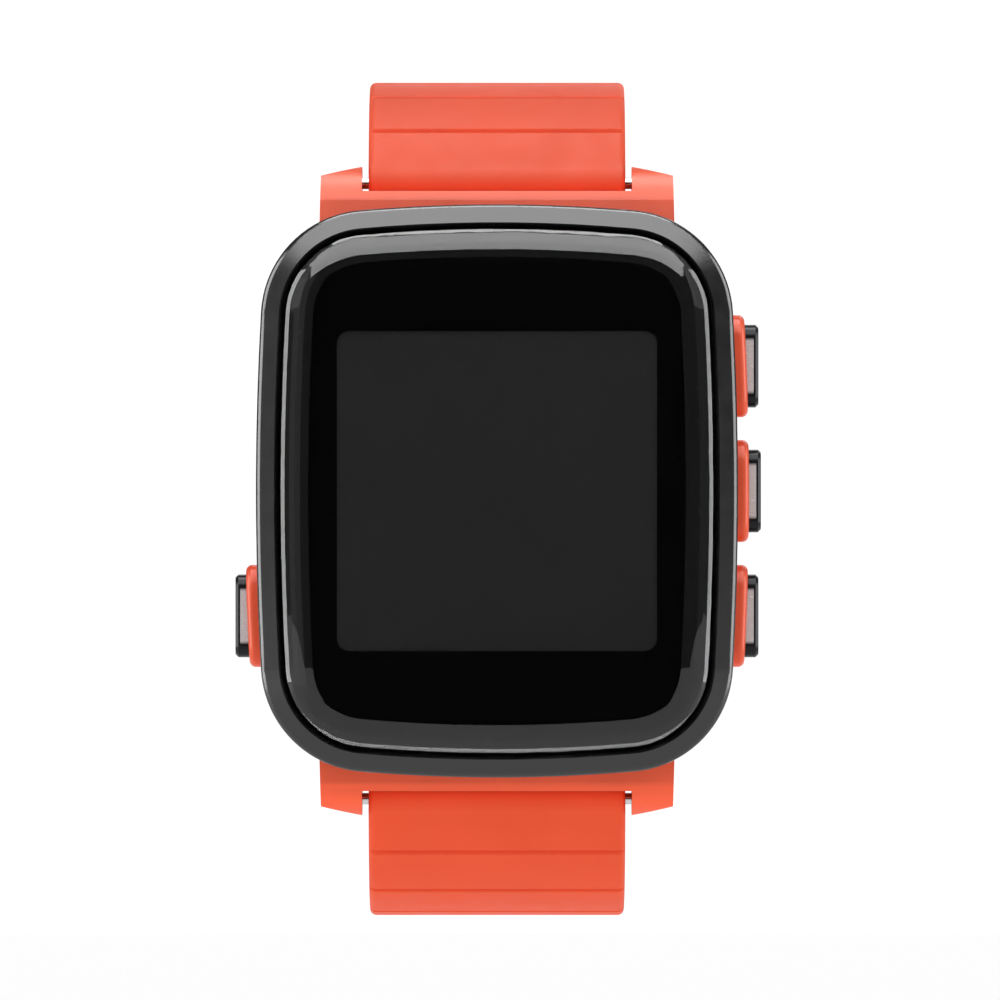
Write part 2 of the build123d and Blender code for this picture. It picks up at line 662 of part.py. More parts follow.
def buckle_tongue():
    """Prong that hinges on the bar and rests on the crossbar's outer side."""
    rest = BUCKLE_T / 2 + 0.04
    far = BUCKLE_REACH + CROSSBAR
    under = [(-0.5, 0.9), (0.9, 0.5), (2.6, rest), (far - 0.1, rest)]
    over = [(far + 0.2, rest + 0.4), (far - 0.4, rest + 0.9), (2.6, rest + 1.1), (-0.3, rest + 0.05)]
    prong = extrude(Plane.YZ * Polygon(*under, *over, align=None), TONGUE_W / 2, both=True)
    hole, outer = TONGUE_EYE
    body = prong + rod(outer, -TONGUE_EYE_W / 2, TONGUE_EYE_W / 2) - rod(hole, -STRAP_W, STRAP_W)
    return buckle_place() * body


# ================================================================ assembly
def across(shape):
    """Turn a piece drawn on the 12 o'clock side round to the 6 o'clock side."""
    return Rot(0, 0, 180) * shape


def pieces():
    """Every node's name with its shape."""
    plain = [
        front_bezel, cover_glass, glass_adhesive, display_module, display_flex, inner_chassis,
        mid_case, case_gasket, back_cover, back_cover_screws, sensor_window, sensor_board,
        sensor_emitters, charge_contacts, main_board, board_screws, board_chips, radio_shield,
        gps_antenna, battery, vibration_motor, side_switches, strap_upper, keeper_free,
        buckle_frame, buckle_bar, buckle_tongue,
    ]
    nodes = {make.__name__: make() for make in plain}
    for name, (side, y) in BUTTONS.items():
        nodes[f"button_{name}"] = button_cap(side, y)
        nodes[f"button_seal_{name}"] = button_seal(side, y)
        nodes[f"button_clip_{name}"] = button_clip(side, y)
    nodes["spring_bar_upper"] = bar_tube(UPPER)
    nodes["release_pin_upper"] = release_pin(UPPER)
    nodes["strap_lower"] = across(strap_lower())
    nodes["spring_bar_lower"] = across(bar_tube(LOWER))
    nodes["release_pin_lower"] = across(release_pin(LOWER))
    return nodes


def main():
    os.makedirs("parts", exist_ok=True)
    for name, shape in pieces().items():
        drawn = shape if isinstance(shape, list) else [shape]
        standing = [STAND * solid for solid in drawn]
        whole = standing[0] if len(standing) == 1 else Compound(standing)
        export_step(whole, f"parts/{name}.step")


if __name__ == "__main__":
    main()
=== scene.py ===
import bmesh
import bpy
import json
from math import asin, cos, pi, radians, sin, sqrt
from mathutils import Matrix, Vector

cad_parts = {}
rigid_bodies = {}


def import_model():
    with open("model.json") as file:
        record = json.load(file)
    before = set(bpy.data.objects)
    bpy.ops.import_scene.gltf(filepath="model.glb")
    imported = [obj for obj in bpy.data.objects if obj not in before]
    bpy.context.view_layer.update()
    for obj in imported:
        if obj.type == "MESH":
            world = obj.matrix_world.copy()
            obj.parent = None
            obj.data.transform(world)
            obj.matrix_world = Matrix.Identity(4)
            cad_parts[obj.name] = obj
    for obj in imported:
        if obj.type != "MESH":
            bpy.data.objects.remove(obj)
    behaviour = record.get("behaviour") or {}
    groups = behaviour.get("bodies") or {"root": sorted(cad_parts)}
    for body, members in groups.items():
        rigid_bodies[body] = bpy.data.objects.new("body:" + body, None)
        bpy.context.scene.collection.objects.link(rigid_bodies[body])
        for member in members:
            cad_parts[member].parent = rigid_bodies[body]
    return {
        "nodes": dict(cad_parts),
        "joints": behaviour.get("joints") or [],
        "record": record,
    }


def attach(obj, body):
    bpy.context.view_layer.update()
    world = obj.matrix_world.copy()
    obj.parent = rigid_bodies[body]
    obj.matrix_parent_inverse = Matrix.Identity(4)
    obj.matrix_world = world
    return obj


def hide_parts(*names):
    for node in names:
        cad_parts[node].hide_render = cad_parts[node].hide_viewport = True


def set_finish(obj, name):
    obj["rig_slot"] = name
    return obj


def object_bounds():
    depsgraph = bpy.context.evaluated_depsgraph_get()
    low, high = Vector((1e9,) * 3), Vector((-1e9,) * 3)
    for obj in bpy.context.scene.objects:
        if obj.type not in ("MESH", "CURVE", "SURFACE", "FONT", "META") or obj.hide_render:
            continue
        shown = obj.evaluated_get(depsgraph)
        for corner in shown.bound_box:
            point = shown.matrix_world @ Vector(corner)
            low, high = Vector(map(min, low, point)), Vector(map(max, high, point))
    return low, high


# GPS running watch, in metres: display towards -Y, 12 o'clock up, case back at the origin.
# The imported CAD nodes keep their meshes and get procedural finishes. The silicone pieces, which
# are both strap halves and the free keeper, are built again here with soft edges and lips.

for leftover in list(bpy.data.objects):
    bpy.data.objects.remove(leftover)
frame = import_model()
bpy.context.view_layer.update()
CAD_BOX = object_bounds()
JOINTS = {joint["name"]: joint for joint in frame["joints"]}
MM = 0.001

# ---------------------------------------------------------------- strap, as in the CAD model
STRAP_W = 22.0 * MM
STRAP_END_W = 20.0 * MM
STRAP_T = 2.4 * MM
ROOT_T = 0.7 * MM  # extra thickness at the barrel, fading out over ROOT_FADE
ROOT_FADE = 18.0 * MM
EDGE_R = 0.55 * MM
BARREL_R = 1.95 * MM
BARREL_TANGENT_R = 1.9 * MM
BARREL_RIM_R = 0.35 * MM
BAR_BORE_R = 0.8 * MM
BEND_HEIGHT = 19.9 * MM  # the halves bend around axes this far above and below the centre
GROOVE_FIRST = 4.6 * MM
GROOVE_PITCH = 5.3 * MM
GROOVE_DEPTH = 0.28 * MM
GROOVE_HALF_W = 0.3 * MM
STATION = 1.2 * MM  # spacing of the cross sections between grooves
HOLE = (3.2 * MM, 2.0 * MM)
HOLE_LIP = 0.16 * MM
HOLE_COUNT = 12
HOLES_FROM_TIP = 22.0 * MM
CUT_PAST = 0.6 * MM  # how far a hole's cutter stands out of both faces
TIP_R = 11.5 * MM
PARTING_RIDGE = 0.03 * MM  # mould line along the middle of each edge

# ---------------------------------------------------------------- keepers and the buckle's end
KEEPER_W = 5.0 * MM
KEEPER_WALL = 1.3 * MM
KEEPER_CORNER_R = 0.6 * MM
KEEPER_EDGE_R = 0.42 * MM
KEEPER_ROOM = 2.9 * MM
FIXED_KEEPER_BACK = 15.5 * MM  # from the buckle's bar to the keeper's middle
FIXED_KEEPER_TUCK = 0.3 * MM  # its sides and inner wall lie inside the strap, and merge with it
FIXED_KEEPER_BITE = 0.2 * MM
FREE_KEEPER_BACK = 22.0 * MM
FREE_KEEPER_ROOM = 21.6 * MM
FREE_KEEPER_SLACK = 0.45 * MM
END_BARREL_R = 1.6 * MM
END_RIM_R = 0.3 * MM
NOTCH = (3.6 * MM, 6.0 * MM, 8.0 * MM)
KNOB_SLOT = (2.7 * MM, 1.3 * MM, 4.0 * MM)
KNOB_SLOT_X = -6.5 * MM
ADHESIVE_CLEARANCE = 0.01 * MM


# ================================================================ mesh building
def to_object(name, work):
    """Turn a finished bmesh into an object of the scene."""
    bmesh.ops.recalc_face_normals(work, faces=work.faces)
    mesh = bpy.data.meshes.new(name)
    work.to_mesh(mesh)
    work.free()
    made = bpy.data.objects.new(name, mesh)
    bpy.context.scene.collection.objects.link(made)
    return made


def skin(name, rings, wrap=False):
    """Solid through closed rings of equal count; with `wrap` the last ring joins the first."""
    work = bmesh.new()
    loops = [[work.verts.new(point) for point in ring] for ring in rings]
    pairs = list(zip(loops, loops[1:]))
    if wrap:
        pairs.append((loops[-1], loops[0]))
    for a, b in pairs:
        for i in range(len(a)):
            j = (i + 1) % len(a)
            work.faces.new((a[i], a[j], b[j], b[i]))
    if not wrap:
        work.faces.new(loops[0])
        work.faces.new(loops[-1])
    return to_object(name, work)


def rod(name, half_length, radius, place, rim=0.0, steps=64):
    """Cylinder along the place's X axis, with rounded rims."""
    profile = [(-half_length, radius - rim)]
    if rim:
        turns = [pi / 2 * i / 4 for i in range(5)]
        profile = [(-half_length + rim * (1 - sin(a)), radius - rim * (1 - cos(a)))
                   for a in reversed(turns)]
    profile += [(-x, r) for x, r in reversed(profile)]
    angles = [2 * pi * i / steps for i in range(steps)]
    rings = [[place @ Vector((x, r * cos(a), r * sin(a))) for a in angles] for x, r in profile]
    return skin(name, rings)


def block(name, size, place):
    """Cutting block centred on the place."""
    x, y, z = (side / 2 for side in size)
    ends = [(-x, -y), (x, -y), (x, y), (-x, y)]
    return skin(name, [[place @ Vector((u, v, w)) for u, v in ends] for w in (-z, z)])


def combine(target, tool, operation):
    """Apply an exact boolean to the target, and drop the tool."""
    change = target.modifiers.new("change", "BOOLEAN")
    change.operation, change.object, change.solver = operation, tool, "EXACT"
    seen = target.evaluated_get(bpy.context.evaluated_depsgraph_get())
    mesh = bpy.data.meshes.new_from_object(seen)
    target.modifiers.clear()
    target.data = mesh
    bpy.data.objects.remove(tool)


def soften(piece, angle=38.0):
    """Smooth shading that keeps edges sharper than the angle."""
    mesh = piece.data
    mesh.polygons.foreach_set("use_smooth", [True] * len(mesh.polygons))
    mesh.set_sharp_from_angle(angle=radians(angle))
    even = piece.modifiers.new("even", "WEIGHTED_NORMAL")
    even.keep_sharp = True


# ================================================================ strap
class Half:
    """Curve of one half of the strap; lengths run along its outer face from the barrel."""

    def __init__(self, joint, bend_r, tail_r, tail, taper):
        _, y, z = JOINTS[joint]["pos_m"]
        self.bar = Vector((0, y, abs(z)))
        self.bend_r, self.tail_r, self.taper = bend_r, tail_r, taper
        reach = bend_r - BARREL_TANGENT_R
        offset = self.bar.z - BEND_HEIGHT
        self.centre_y = y + sqrt(reach**2 - offset**2)
        self.start = asin(offset / reach)
        self.bend = bend_r * (pi / 2 - self.start)
        self.length = self.bend + tail

    def place(self, s, sink=0.0):
        """Matrix on the outer face: X across, Y along the strap, Z outwards."""
        past = s - self.bend
        if past <= 0:
            turn = self.start + s / self.bend_r
            radius, height = self.bend_r, BEND_HEIGHT
        else:
            turn = pi / 2 + past / self.tail_r
            radius, height = self.tail_r, BEND_HEIGHT + self.bend_r - self.tail_r
        out = Vector((0, -cos(turn), sin(turn)))
        origin = Vector((0, self.centre_y, height)) + radius * out - sink * out
        along = Vector((0, sin(turn), cos(turn)))
        return self.axes(origin, along, out)

    def bar_place(self):
        """Matrix on the spring bar's axis, turned like the start of the outer face."""
        out = Vector((0, -cos(self.start), sin(self.start)))
        return self.axes(self.bar, Vector((0, sin(self.start), cos(self.start))), out)

    @staticmethod
    def axes(origin, along, out):
        turned = Matrix(((1, 0, 0), (0, along.y, out.y), (0, along.z, out.z)))
        return Matrix.Translation(origin) @ turned.to_4x4()

    def width(self, s):
        first, last = self.taper
        share = min(1.0, max(0.0, (s - first) / (last - first)))
        return STRAP_W - (STRAP_W - STRAP_END_W) * share


UPPER = Half("strap_upper_hinge", 15.5 * MM, 34.0 * MM, 34.0 * MM * pi / 2, (20 * MM, 60 * MM))
LOWER = Half("strap_lower_hinge", 16.9 * MM, 70.0 * MM, 98.0 * MM, (45 * MM, 110 * MM))


def section(width, thick, dip):
    """Ring of (across, inwards) points round a band; `dip` sinks the outer face."""
    radius = min(EDGE_R, 0.45 * width, 0.45 * thick)
    flat = width / 2 - radius
    count, arc = 14, 5
    across = [flat * (2 * i / count - 1) for i in range(count + 1)]
    turns = [pi / 2 * i / arc for i in range(1, arc)]
    half = [(flat + radius * sin(a), radius * (1 - cos(a))) for a in turns]
    edge = flat + radius
    half += [(edge, radius), (edge + PARTING_RIDGE, thick / 2), (edge, thick - radius)]
    half += [(flat + radius * cos(a), thick - radius * (1 - sin(a))) for a in turns]
    ring = [(u, 0.0) for u in across] + half
    ring += [(u, thick) for u in reversed(across)] + [(-u, w) for u, w in reversed(half)]
    return [(u, w + dip * max(0.0, 1 - w / radius)) for u, w in ring]


def groove_lengths(last):
    """Lengths of the grooves' centres, up to the length `last`."""
    count = int((last - GROOVE_FIRST) / GROOVE_PITCH) + 1
    return [GROOVE_FIRST + i * GROOVE_PITCH for i in range(count)]


def groove_dip(s, grooves):
    """Depth of the outer face at a length: a V with rounded lips and floor."""
    near = min(abs(s - centre) for centre in grooves) / GROOVE_HALF_W
    return GROOVE_DEPTH * 0.5 * (1 + cos(pi * min(near, 1.0)))


def stations(half, grooves, tip):
    """Lengths of the cross sections: even, closer over the grooves and round the tip."""
    end = half.length - (TIP_R if tip else 0.0)
    count = round(end / STATION)
    found = [end * i / count for i in range(count + 1)]
    found = [s for s in found if min(abs(s - g) for g in grooves) > 1.5 * GROOVE_HALF_W]
    for centre in grooves:
        found += [centre + GROOVE_HALF_W * step / 4 for step in range(-5, 6)]
    if tip:
        found += [end + TIP_R * sin(radians(a)) for a in range(4, 89, 4)]
    return sorted(found)


def band(name, half, grooves, tip=False):
    """The strap without its barrel."""
    rings = []
    for s in stations(half, grooves, tip):
        thick = STRAP_T + ROOT_T * max(0.0, 1 - s / ROOT_FADE) ** 2
        width = half.width(s)
        past = s - (half.length - TIP_R)
        if tip and past > 0:
            width = min(width, 2 * sqrt(TIP_R**2 - past**2))
        place = half.place(s)
        dip = groove_dip(s, grooves)
        rings.append([place @ Vector((u, 0, -w)) for u, w in section(width, thick, dip)])
    return skin(name, rings)


def add_barrel(strap, half):
    """Barrel round the spring bar, its bore, and the slot of the release knob."""
    place = half.bar_place()
    combine(strap, rod("barrel", STRAP_W / 2, BARREL_R, place, rim=BARREL_RIM_R), "UNION")
    combine(strap, rod("bore", STRAP_W, BAR_BORE_R, place), "DIFFERENCE")
    inwards = place @ Matrix.Translation((KNOB_SLOT_X, 0, -KNOB_SLOT[2] / 2))
    combine(strap, block("slot", KNOB_SLOT, inwards), "DIFFERENCE")


def hole_tool(place):
    """Oval cutter that widens at both faces, so the hole gets soft lips."""
    across, along = HOLE
    third = HOLE_LIP / 3
    profile = [(-CUT_PAST, HOLE_LIP), (0, HOLE_LIP), (third, third), (HOLE_LIP, 0)]
    profile += [(STRAP_T - depth, grow) for depth, grow in reversed(profile)]
    steps = 10
    rings = []
    for depth, grow in profile:
        ring = []
        for end in (1, -1):
            for i in range(steps + 1):
                a = pi * i / steps - pi / 2
                x = end * ((across - along) / 2 + (along / 2 + grow) * cos(a))
                y = end * (along / 2 + grow) * sin(a)
                ring.append(place @ Vector((x, y, -depth)))
        rings.append(ring)
    return skin("hole", rings)


def keeper(name, width, room_below, place):
    """Loop round the strap with soft edges."""
    half_w, half_h = width / 2, (STRAP_T + KEEPER_ROOM + room_below) / 2
    centre = place @ Matrix.Translation((0, 0, (KEEPER_ROOM - STRAP_T - room_below) / 2))
    walk = []
    steps = 8
    corners = [(1, 1, 0.0), (-1, 1, pi / 2), (-1, -1, pi), (1, -1, 1.5 * pi)]
    for sx, sz, first in corners:
        for i in range(steps + 1):
            a = first + pi / 2 * i / steps
            corner = (sx * (half_w - KEEPER_CORNER_R), sz * (half_h - KEEPER_CORNER_R))
            walk.append((corner, Vector((cos(a), 0, sin(a)))))
    rings = []
    for (x, z), normal in walk:
        inner = Vector((x, 0, z)) + KEEPER_CORNER_R * normal
        rings.append([centre @ (inner + normal * lift + Vector((0, y, 0)))
                      for y, lift in keeper_section()])
    return skin(name, rings, wrap=True)


def keeper_section():
    """Ring of (along, outwards) points round the keeper's wall."""
    ring = []
    flat_y, flat_lift = KEEPER_W / 2 - KEEPER_EDGE_R, KEEPER_WALL - 2 * KEEPER_EDGE_R
    low, high = KEEPER_EDGE_R, KEEPER_EDGE_R + flat_lift
    for sy, base, first in ((1, high, 0.0), (-1, high, pi / 2), (-1, low, pi), (1, low, 1.5 * pi)):
        for i in range(5):
            a = first + pi / 2 * i / 4
            ring.append((sy * flat_y + KEEPER_EDGE_R * cos(a), base + KEEPER_EDGE_R * sin(a)))
    return ring


def silicone(piece, body, node):
    """Finish a silicone piece that stands for a CAD node."""
    soften(piece)
    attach(piece, body)
    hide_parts(node)
    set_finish(piece, "silicone_orange")
    return piece


def short_half():
    """12 o'clock half, with the fixed keeper and the notched barrel for the buckle."""
    strap = band("strap_upper_silicone", UPPER, groove_lengths(UPPER.length - FREE_KEEPER_BACK))
    end = UPPER.place(UPPER.length, sink=STRAP_T / 2)
    combine(strap, rod("eye", STRAP_END_W / 2, END_BARREL_R, end, rim=END_RIM_R), "UNION")
    s = UPPER.length - FIXED_KEEPER_BACK
    room = UPPER.width(s) - FIXED_KEEPER_TUCK
    combine(strap, keeper("fixed", room, -FIXED_KEEPER_BITE, UPPER.place(s)), "UNION")
    combine(strap, rod("bore", STRAP_W, BAR_BORE_R, end), "DIFFERENCE")
    combine(strap, block("notch", NOTCH, end), "DIFFERENCE")
    add_barrel(strap, UPPER)
    return silicone(strap, "strap_upper", "strap_upper")


def long_half():
    """6 o'clock half, with its holes; built at 12 o'clock and turned over."""
    strap = band("strap_lower_silicone", LOWER, groove_lengths(LOWER.length - TIP_R), tip=True)
    add_barrel(strap, LOWER)
    last = (LOWER.length - HOLES_FROM_TIP - GROOVE_FIRST) // GROOVE_PITCH
    for i in range(HOLE_COUNT):
        centre = GROOVE_FIRST + GROOVE_PITCH * (last - i + 0.5)
        combine(strap, hole_tool(LOWER.place(centre)), "DIFFERENCE")
    strap.data.transform(Matrix.Rotation(pi, 4, "Y"))
    return silicone(strap, "strap_lower", "strap_lower")


def free_keeper():
    place = UPPER.place(UPPER.length - FREE_KEEPER_BACK)
    loop = keeper("keeper_free_silicone", FREE_KEEPER_ROOM, FREE_KEEPER_SLACK, place)
    return silicone(loop, "keeper", "keeper_free")


# ================================================================ finishes
TONE_DRIFT = 6.0 * MM  # size of the slow changes of tone
SMUDGE = 1.5 * MM
MOULD_GRAIN = 0.12 * MM
BRUSH_LINE = 0.05 * MM
PIXEL = 0.19 * MM
# colour of the painted dark reflection on the button caps
PAINTED_DARK_REFLECTION = (0.012, 0.012, 0.014)


class Finish:
    """A procedural material: one Principled shader and the textures that feed it."""

    def __init__(self, name, roughness=0.5, metallic=0.0, specular=0.5):
        self.material = bpy.data.materials.new(name)
        self.material.use_nodes = True
        self.tree = self.material.node_tree
        self.shader = self.tree.nodes["Principled BSDF"]
        self.shader.inputs["Roughness"].default_value = roughness
        self.shader.inputs["Metallic"].default_value = metallic
        self.shader.inputs["Specular IOR Level"].default_value = specular
        self.where = self.node("TexCoord").outputs["Object"]

    def node(self, kind, **inputs):
        made = self.tree.nodes.new("ShaderNode" + kind)
        for name, value in inputs.items():
            self.feed(made.inputs[name.replace("_", " ")], value)
        return made

    def feed(self, socket, value):
        if isinstance(value, bpy.types.NodeSocket):
            self.tree.links.new(value, socket)
        else:
            socket.default_value = value

    def noise(self, size, detail=3.0, stretch=(1, 1, 1)):
        """Noise whose grains are about `size` metres; `stretch` lengthens them along axes."""
        scale = [1 / s for s in stretch]
        spread = self.node("Mapping", Vector=self.where, Scale=scale).outputs[0]
        return self.node("TexNoise", Vector=spread, Scale=1 / size, Detail=detail).outputs["Fac"]

    def remap(self, value, low, high, start=0.3, end=0.7):
        """Value from `start` to `end` carried over to `low` to `high`."""
        made = self.node("MapRange", Value=value, From_Min=start, From_Max=end, To_Min=low, To_Max=high)
        return made.outputs[0]

    def mix(self, share, a, b):
        made = self.tree.nodes.new("ShaderNodeMix")
        made.data_type = "RGBA"
        for name, value in (("Factor", share), ("A", a), ("B", b)):
            kind = "VALUE" if name == "Factor" else "RGBA"
            socket = next(s for s in made.inputs if s.name == name and s.type == kind)
            self.feed(socket, (*value, 1) if isinstance(value, tuple) and len(value) == 3 else value)
        return next(s for s in made.outputs if s.type == "RGBA")

    def math(self, operation, a, b=0.0):
        made = self.tree.nodes.new("ShaderNodeMath")
        made.operation = operation
        self.feed(made.inputs[0], a)
        self.feed(made.inputs[1], b)
        return made.outputs[0]

    def edges(self):
        """1 on convex edges, 0 elsewhere."""
        return self.remap(self.node("NewGeometry").outputs["Pointiness"], 0, 1, 0.52, 0.62)

    def colour(self, value):
        self.feed(self.shader.inputs["Base Color"], value)

    def roughness(self, value):
        self.feed(self.shader.inputs["Roughness"], value)

    def bump(self, height, depth):
        made = self.node("Bump", Height=height, Distance=depth, Strength=1.0)
        self.feed(self.shader.inputs["Normal"], made.outputs[0])


def tinted(colour, factor):
    return tuple(min(1.0, channel * factor) for channel in colour)


def grainy(name, colour, rough, grain=MOULD_GRAIN, depth=0.004 * MM, wear=1.15, **shader):
    """Moulded or coated surface: drifting tone, fine grain, and edges rubbed lighter."""
    f = Finish(name, **shader)
    body = f.mix(f.remap(f.noise(TONE_DRIFT), 0, 1), tinted(colour, 0.93), tinted(colour, 1.05))
    f.colour(f.mix(f.edges(), body, tinted(colour, wear)))
    f.roughness(f.remap(f.noise(SMUDGE, 5.0), rough[0], rough[1]))
    f.bump(f.noise(grain), depth)
    return f.material


def brushed(name, colour, rough, stretch, depth=0.002 * MM, **shader):
    """Metal with fine lines along the stretched axis, and smudges."""
    f = Finish(name, metallic=1.0, **shader)
    lines = f.noise(BRUSH_LINE, 4.0, stretch)
    f.colour(f.mix(f.remap(lines, 0, 1), tinted(colour, 0.88), tinted(colour, 1.06)))
    smudges = f.remap(f.noise(4 * MM), 0, 0.06)
    f.roughness(f.math("ADD", f.remap(lines, rough[0], rough[1]), smudges))
    f.bump(lines, depth)
    return f.material


def cover_glass_finish():
    """Clear glass with faint finger marks."""
    f = Finish("glass_clear")
    f.shader.inputs["Transmission Weight"].default_value = 1.0
    f.shader.inputs["IOR"].default_value = 1.5
    f.colour((1, 1, 1, 1))
    f.roughness(f.remap(f.noise(7 * MM), 0.0, 0.025, 0.45, 0.8))
    return f.material


def display_finish():
    """Dark panel with a faint grid of pixels."""
    f = Finish("display_panel", specular=0.12)
    apart = f.node("SeparateXYZ", Vector=f.where).outputs
    lines = [f.math("FRACT", f.math("MULTIPLY", apart[axis], 1 / PIXEL)) for axis in ("X", "Z")]
    grid = f.math("MAXIMUM", *(f.math("GREATER_THAN", line, 0.88) for line in lines))
    f.colour(f.mix(f.math("MULTIPLY", grid, 0.25), (0.019, 0.019, 0.019), (0.009, 0.009, 0.009)))
    f.roughness(f.remap(f.noise(5 * MM), 0.35, 0.45))
    return f.material


def button_finish():
    """Steel, painted black on its outer face and towards its upper and lower ends: a painted dark
    reflection.
    """
    f = Finish("button_metal", metallic=0.4, specular=0.2)
    apart = f.node("SeparateXYZ", Vector=f.node("TexCoord").outputs["Generated"]).outputs
    out, up = (f.math("ABSOLUTE", f.math("SUBTRACT", apart[axis], 0.5)) for axis in ("X", "Z"))
    # mask of the painted dark reflection: the outer face, and the upper and lower ends
    dark_reflection_mask = f.math("MAXIMUM", f.math("GREATER_THAN", out, 0.42), f.remap(up, 0, 1, 0.3, 0.34))
    lines = f.noise(0.04 * MM, 3.0, (12, 1, 1))
    steel = f.mix(f.remap(lines, 0, 1), (0.74, 0.73, 0.73), (0.84, 0.83, 0.83))
    f.colour(f.mix(dark_reflection_mask, steel, PAINTED_DARK_REFLECTION))
    f.roughness(f.remap(lines, 0.2, 0.28))
    f.bump(lines, 0.001 * MM)
    return f.material


def silicone_finish():
    """Satin silicone: fine texture, faint dust and a soft sheen."""
    colour = (0.86, 0.09, 0.03)
    f = Finish("silicone_orange", specular=0.12)
    body = f.mix(f.remap(f.noise(9 * MM), 0, 1), tinted(colour, 0.93), tinted(colour, 1.0))
    dust = f.remap(f.noise(0.5 * MM, 6.0), 0, 0.03, 0.55, 0.8)
    f.colour(f.mix(dust, body, (0.92, 0.42, 0.3)))
    f.roughness(f.remap(f.noise(2 * MM, 5.0), 0.5, 0.62))
    f.bump(f.noise(0.09 * MM, 4.0), 0.005 * MM)
    f.shader.inputs["Sheen Weight"].default_value = 0.06
    f.shader.inputs["Sheen Roughness"].default_value = 0.5
    return f.material


def board_finish():
    """Solder mask over square-cut copper traces."""
    f = Finish("board_green")
    cells = f.node("TexBrick", Vector=f.where, Scale=600.0, Mortar_Size=0.05)
    f.feed(cells.inputs["Color1"], (0.01, 0.13, 0.05, 1))
    f.feed(cells.inputs["Color2"], (0.008, 0.09, 0.035, 1))
    f.feed(cells.inputs["Mortar"], (0.03, 0.24, 0.1, 1))
    f.colour(cells.outputs["Color"])
    f.roughness(f.remap(f.noise(1 * MM), 0.3, 0.45))
    f.bump(cells.outputs["Fac"], 0.01 * MM)
    return f.material


def sensor_finish():
    """Smoked window that lets the sensor's parts show."""
    f = Finish("sensor_lens", roughness=0.03)
    f.shader.inputs["Transmission Weight"].default_value = 1.0
    f.colour((0.2, 0.18, 0.19, 1))
    f.roughness(f.remap(f.noise(3 * MM), 0.01, 0.06))
    return f.material


def finishes():
    """Every material slot's finish."""
    # plastics: colour, roughness range, shader values; metals: colour, roughness range, line stretch
    plastic = {
        "case_orange": ((0.86, 0.1, 0.035), (0.3, 0.38), dict(specular=0.28)),
        "bezel_black": ((0.006, 0.006, 0.007), (0.16, 0.22), dict(specular=0.65)),
        "adhesive_black": ((0.002, 0.002, 0.002), (0.6, 0.7), dict(specular=0.0)),
        "flex_amber": ((0.45, 0.2, 0.04), (0.3, 0.42), {}),
        "chassis_grey": ((0.05, 0.05, 0.055), (0.45, 0.6), {}),
        "seal_rubber": ((0.02, 0.02, 0.02), (0.6, 0.75), dict(specular=0.3)),
        "cover_black": ((0.018, 0.018, 0.019), (0.42, 0.52), dict(specular=0.4)),
        "chip_black": ((0.02, 0.02, 0.02), (0.5, 0.62), {}),
        "antenna_ceramic": ((0.75, 0.7, 0.6), (0.35, 0.5), {}),
    }
    metal = {
        "screw_steel": ((0.5, 0.5, 0.5), (0.25, 0.38), (1, 1, 8)),
        "contact_gold": ((0.9, 0.62, 0.25), (0.15, 0.25), (1, 6, 1)),
        "shield_steel": ((0.6, 0.6, 0.6), (0.25, 0.4), (20, 1, 1)),
        "battery_foil": ((0.55, 0.56, 0.58), (0.3, 0.42), (12, 1, 1)),
        "switch_metal": ((0.6, 0.6, 0.58), (0.25, 0.35), (1, 1, 10)),
        "buckle_steel": ((0.55, 0.54, 0.53), (0.22, 0.34), (25, 1, 1)),
        "pin_steel": ((0.62, 0.62, 0.62), (0.12, 0.2), (1, 8, 8)),
    }
    made = {}
    for name, (colour, rough, more) in plastic.items():
        made[name] = grainy(name, colour, rough, **more)
    for name, (colour, rough, stretch) in metal.items():
        made[name] = brushed(name, colour, rough, stretch)
    made["glass_clear"] = cover_glass_finish()
    made["display_panel"] = display_finish()
    made["board_green"] = board_finish()
    made["button_metal"] = button_finish()
    made["silicone_orange"] = silicone_finish()
    made["sensor_lens"] = sensor_finish()
    return made


def dress(pieces):
    """Give each CAD node and each new piece the finish of its slot."""
    made = finishes()
    for row in frame["record"]["subparts"]:
        mesh = frame["nodes"][row["node"]].data
        mesh.materials.clear()
        mesh.materials.append(made[row["material_slot"]])
    for piece in pieces:
        piece.data.materials.clear()
        piece.data.materials.append(made[piece["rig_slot"]])
    shrink = frame["nodes"]["glass_adhesive"].modifiers.new("clear_of_glass", "DISPLACE")
    shrink.strength, shrink.mid_level = -ADHESIVE_CLEARANCE, 0.0


# ================================================================ studio
VIEW_W = 85.837 * MM  # width of the view at the spring bars
LENS = 500.0
SENSOR = 36.0
AIM = Vector((0.26 * MM, JOINTS["strap_upper_hinge"]["pos_m"][1], -0.77 * MM))
STRAP_SWING = 95.0 * MM  # the watch is held, and its lower strap can swing this far below it
FLOOR_Z = CAD_BOX[0].z - STRAP_SWING
FLOOR_R = 3.0
DOME_R = 3.2
CARD_HALF = 0.13
CARD_AHEAD = 0.4
FLOOR_GLOW, FLOOR_DIFFUSE = 0.9, 0.1
DOME_GLOW = 1.05
WORLD_GLOW = 0.16

